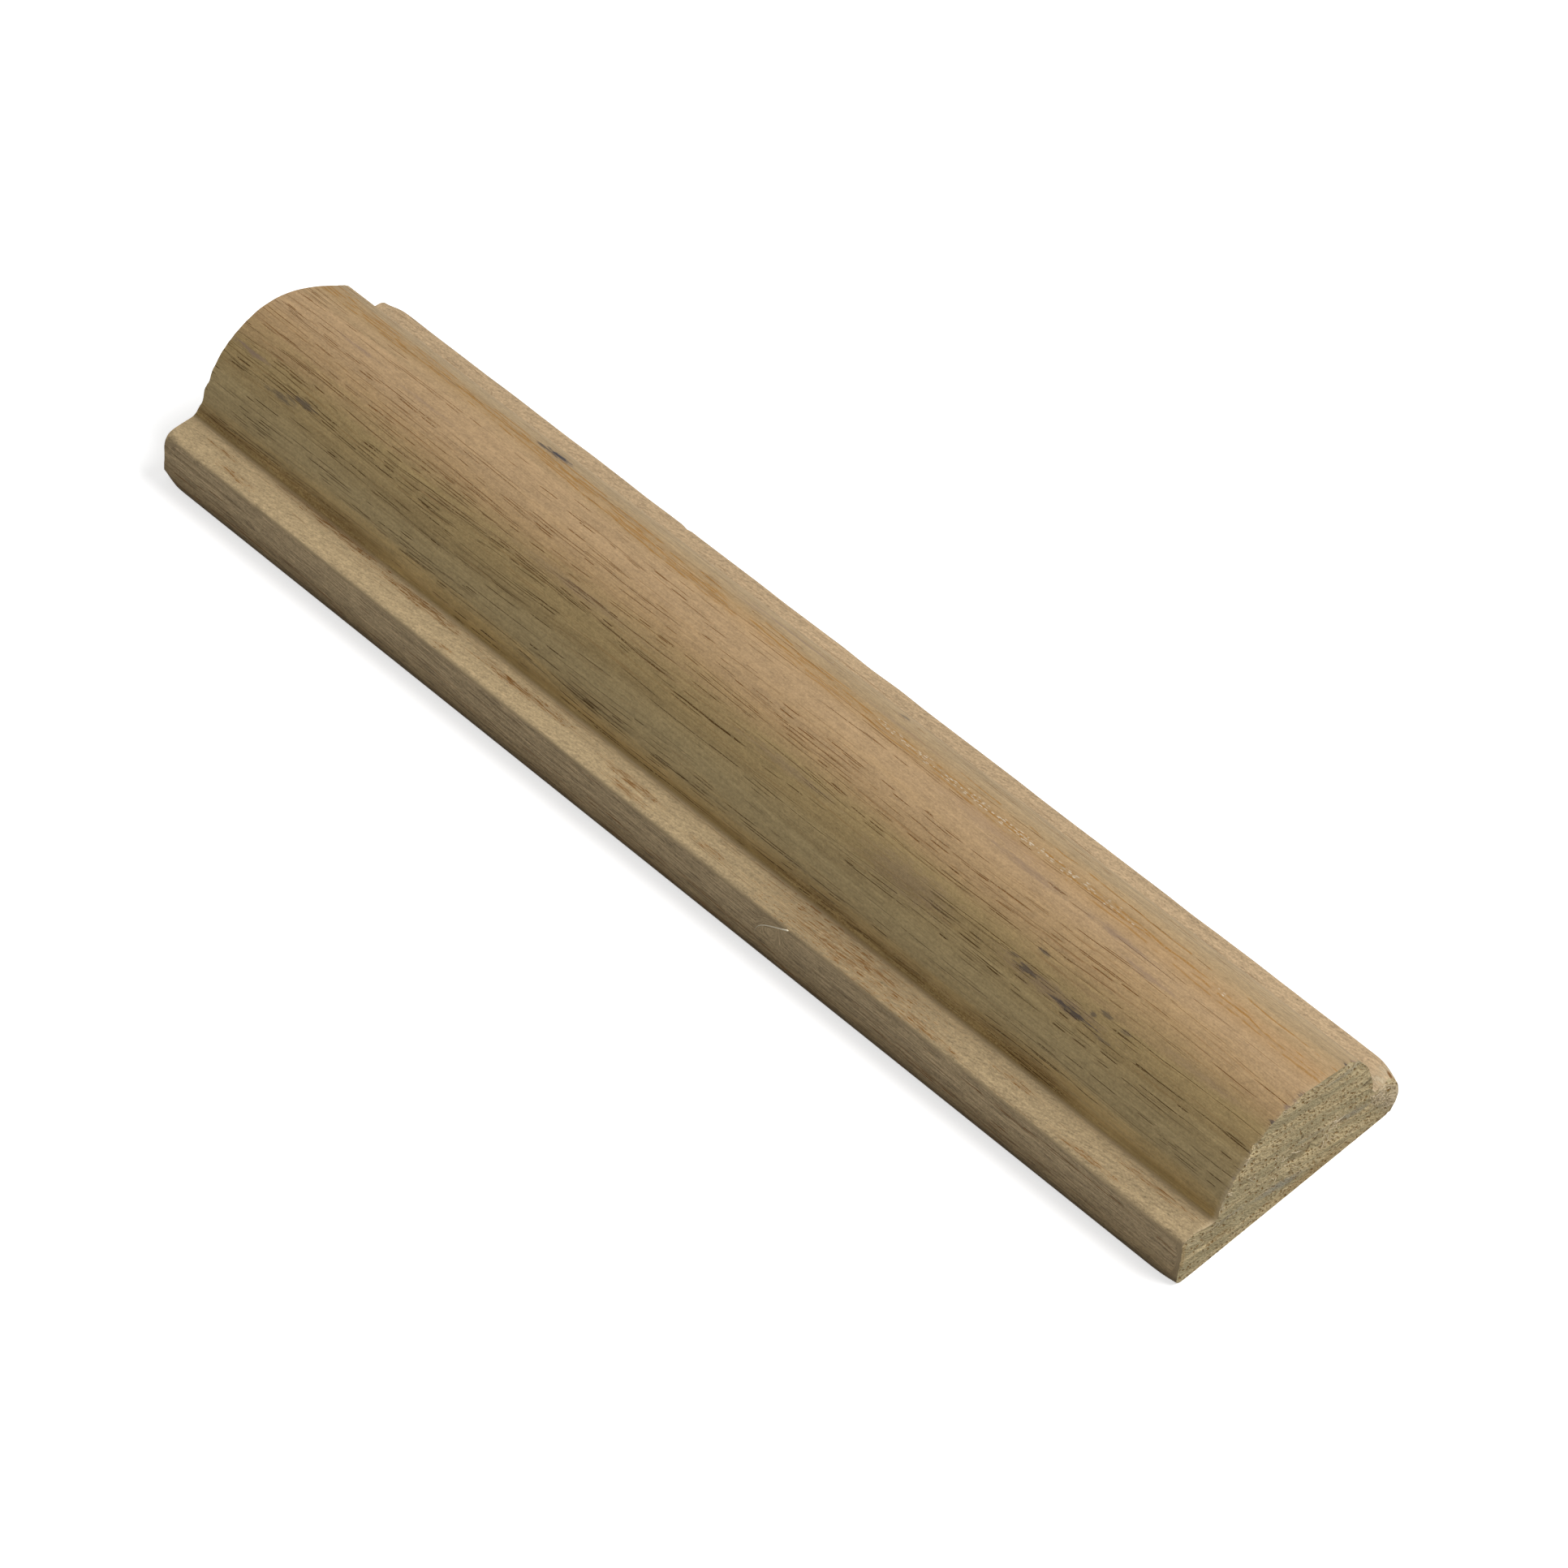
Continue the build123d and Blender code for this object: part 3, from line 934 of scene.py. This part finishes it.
# Where fibres were torn out of the rough cut: Y, Z and reach in millimetres, how many
# there are, and how long in millimetres
TUFTS = (
    (20.6, 6.2, 1.6, 110, 1.1), (18.2, 7.4, 1.5, 70, 0.9), (21.4, 5.0, 1.2, 50, 1.0),
    (16.4, 8.6, 0.8, 16, 0.7), (-10.4, 20.1, 0.4, 8, 0.6), (-5.4, 23.1, 0.5, 10, 0.6),
    (-3.6, 23.5, 0.4, 6, 0.6), (0.6, 23.9, 1.2, 6, 0.4), (8.3, 21.6, 0.6, 6, 0.5),
    (-14.4, 13.6, 0.5, 10, 0.6), (-15.6, 11.0, 0.8, 8, 0.6), (7.5, 8.3, 2.6, 36, 1.4),
    (-2.0, 9.6, 4.0, 26, 1.0), (-8.0, 12.0, 5.0, 18, 0.8), (-13.0, 19.2, 0.7, 12, 0.9),
)


def torn_fibres(sizes):
    """Short curled fibres round each tuft, rooted just under the rough cut.

    Each starts at its tuft's middle plus a random share of its reach, and is pulled in under
    the bead and the ledges where that lies outside them. It leans a little out of the cut
    and down but mostly to one side or the other, and curls by a random amount.
    """
    rng = np.random.default_rng(5)
    tufts = np.array(TUFTS)
    tufts = np.repeat(tufts, tufts[:, 3].astype(int), axis=0)
    centre, reach, long = tufts[:, :2], tufts[:, 2:3], tufts[:, 4]
    y, z = (centre + reach * rng.normal(0, 0.45, centre.shape)).T
    inside = sizes.width / 2 / MM - 0.4
    y = np.clip(y, -inside, inside)
    radius, ledge = sizes.bead_radius / MM - 0.3, sizes.ledge_height / MM
    middle = (sizes.height - sizes.bead_radius) / MM
    from_middle = np.hypot(y, z - middle)
    pull = np.where((z > ledge) & (from_middle > radius), radius / from_middle, 1.0)
    on_ledge = (np.abs(y) > radius) & (z > ledge - 0.3)
    y = y * np.where(on_ledge, 1.0, pull)
    z = np.where(on_ledge, ledge - 0.4, middle + (z - middle) * pull)
    near = cut_places(sizes, y * MM, z * MM)[0]
    starts = np.column_stack([near - 0.05 * MM, y * MM, z * MM])
    lean = rng.normal(0, 1, starts.shape) * (0.25, 0.8, 0.5) + (0.30, 0.0, -0.30)
    lean = lean / np.linalg.norm(lean, axis=1)[:, None]
    curl = rng.normal(0, 0.45, lean.shape) * (0.6, 1.0, 1.0)
    lengths = long * MM * rng.uniform(0.4, 1.1, len(long))
    return tubes(sizes, starts, lean, lengths, curl, 0.055 * MM)


def loose_fibre(sizes):
    """One pale fibre caught on the front arris, lying down the side with a hook at its tip."""
    start = (25.9 * MM, 0.20 * MM - sizes.width / 2, sizes.ledge_height - 0.20 * MM)
    along, hook = (-0.908, -0.019, -0.491), (0.131, 0.0, -0.180)
    return tubes(sizes, [start], [along], [7.0 * MM], [hook], 0.12 * MM, steps=30, bend=6)


class MOULDING_OT_board(Operator):
    """Make the planed and sawn length of wood"""

    bl_idname = "moulding.board"
    bl_label = "Moulding"

    def execute(self, context):
        sizes = context.scene.moulding_sizes
        colours = context.scene.moulding_colours
        vertices, faces = board_mesh(sizes)
        board = make_object("moulding_wood", vertices, faces,
                            [planed_wood(sizes, colours), sawn_wood(colours)])
        long_faces = (STATIONS - 1) * len(section(sizes))
        slots = np.zeros(len(faces), np.int32)
        slots[long_faces:] = 1
        board.data.polygons.foreach_set("material_index", slots)
        merge_doubles(board)
        smooth_where(board, math.radians(40))
        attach(board, "root")
        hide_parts("moulding")
        return {"FINISHED"}


def merge_doubles(made):
    """Joins vertices that share a place, and drops the faces that this leaves without area."""
    work = bmesh.new()
    work.from_mesh(made.data)
    bmesh.ops.remove_doubles(work, verts=work.verts, dist=0.001 * MM)
    bmesh.ops.dissolve_degenerate(work, edges=work.edges, dist=0.0001 * MM)
    work.to_mesh(made.data)
    work.free()


class MOULDING_OT_stage(Operator):
    """Make the floor, the lights and the camera"""

    bl_idname = "moulding.stage"
    bl_label = "Stage"

    def execute(self, context):
        stage = context.scene.moulding_stage
        make_floor(stage)
        make_lights()
        make_camera(context.scene, stage)
        context.scene.view_settings.view_transform = "Standard"
        return {"FINISHED"}


def make_floor(stage):
    """A square floor, pale to the object, that looks white to the camera and keeps the shadow."""
    half = stage.floor_size / 2
    square = np.array([[-half, -half, 0], [half, -half, 0], [half, half, 0], [-half, half, 0]])
    finish = Finish("pale_floor")
    seen, white = finish.seen_directly(), (0.9, 0.9, 0.9, 1)
    tone = finish.mix(stage.floor_colour, white, seen)
    matt = finish.node("ShaderNodeBsdfDiffuse", {}, {"Color": tone}, "BSDF")
    glow = finish.node("ShaderNodeEmission", {}, {"Color": (1, 1, 1, 1), "Strength": 0.60},
                       "Emission")
    dark = finish.node("ShaderNodeEmission", {}, {"Strength": 0.0}, "Emission")
    lift = finish.node("ShaderNodeMixShader", {}, {0: seen, 1: dark, 2: glow}, "Shader")
    both = finish.node("ShaderNodeAddShader", {}, {0: matt, 1: lift}, "Shader")
    finish.node("ShaderNodeOutputMaterial", {}, {"Surface": both})
    floor = make_object("floor", square, np.array([[0, 1, 2, 3]]), [finish.material])


def make_lights():
    """A wide soft lamp high behind the right, a weak one in front, and an even sky."""
    for name, place, size, power in (
        ("key_light", (0.587, 0.457, 1.070), 0.9, 16.0),
        ("front_light", (-0.50, -0.90, 0.70), 1.0, 1.5),
    ):
        lamp = bpy.data.lights.new(name, "AREA")
        lamp.shape = "DISK"
        lamp.size = size
        lamp.energy = power
        made = bpy.data.objects.new(name, lamp)
        bpy.context.scene.collection.objects.link(made)
        made.location = place
        made.rotation_euler = Matrix(basis_from_back(place)).transposed().to_euler()
    world = bpy.data.worlds.new("even_sky")
    world.use_nodes = True
    sky = Nodes(world.node_tree)
    even = sky.node("ShaderNodeBackground", {}, {"Color": (1, 1, 1, 1), "Strength": 0.25})
    white = sky.node("ShaderNodeBackground", {}, {"Color": (1, 1, 1, 1), "Strength": 1.0})
    both = sky.node("ShaderNodeMixShader", {}, {0: sky.seen_directly(), 1: even, 2: white})
    sky.node("ShaderNodeOutputWorld", {}, {"Surface": both})
    bpy.context.scene.world = world


def basis_from_back(back):
    """Rows of right, up and back for something that looks against the back direction."""
    back = back / np.linalg.norm(back)
    right = np.cross((0.0, 0.0, 1.0), back)
    right = right / np.linalg.norm(right)
    return np.array([right, np.cross(back, right), back])


def make_camera(scene, stage):
    """A long lens set by its direction, its roll and where it sees the far lower corner.

    It stands at the corner minus A * seen_at, where A's columns are its right, up and back.
    """
    turn, rise, roll = stage.azimuth, stage.elevation, stage.roll
    back = np.array([math.sin(turn) * math.cos(rise), -math.cos(turn) * math.cos(rise),
                     math.sin(rise)])
    right, up, back = basis_from_back(back)
    axes = np.array([math.cos(roll) * right + math.sin(roll) * up,
                     math.cos(roll) * up - math.sin(roll) * right, back])
    sizes = scene.moulding_sizes
    corner = np.array([-sizes.length / 2 + sizes.far_inset, -sizes.width / 2, 0.0])
    seen_at = np.array([stage.corner_right, stage.corner_up, -stage.distance])
    lens = bpy.data.cameras.new("camera")
    lens.sensor_width = 36.0
    lens.lens = lens.sensor_width * stage.focal_px / stage.picture_px
    lens.clip_end = 20.0
    camera = bpy.data.objects.new("camera", lens)
    scene.collection.objects.link(camera)
    camera.matrix_world = (Matrix.Translation(corner - axes.T @ seen_at)
                           @ Matrix(axes.T).to_4x4())
    scene.camera = camera


class MOULDING_PT_sidebar(Panel):
    """Lists the pieces, their sizes and their colours"""

    bl_idname = "MOULDING_PT_sidebar"
    bl_label = "Moulding"
    bl_space_type = "VIEW_3D"
    bl_region_type = "UI"
    bl_category = "Moulding"

    def draw(self, context):
        for operator in OPERATORS:
            self.layout.operator(operator.bl_idname)
        for group in (context.scene.moulding_sizes, context.scene.moulding_colours,
                      context.scene.moulding_stage):
            box = self.layout.box()
            for name in group.__annotations__:
                box.prop(group, name)


OPERATORS = (MOULDING_OT_board, MOULDING_OT_fibres, MOULDING_OT_stage)
CLASSES = (MouldingSizes, MouldingColours, MouldingStage, *OPERATORS, MOULDING_PT_sidebar)


def register():
    for item in CLASSES:
        bpy.utils.register_class(item)
    bpy.types.Scene.moulding_sizes = PointerProperty(type=MouldingSizes)
    bpy.types.Scene.moulding_colours = PointerProperty(type=MouldingColours)
    bpy.types.Scene.moulding_stage = PointerProperty(type=MouldingStage)


def unregister():
    del bpy.types.Scene.moulding_stage
    del bpy.types.Scene.moulding_colours
    del bpy.types.Scene.moulding_sizes
    for item in reversed(CLASSES):
        bpy.utils.unregister_class(item)


def main():
    register()
    bpy.ops.moulding.board()
    bpy.ops.moulding.fibres()
    bpy.ops.moulding.stage()


if __name__ == "__main__":
    main()
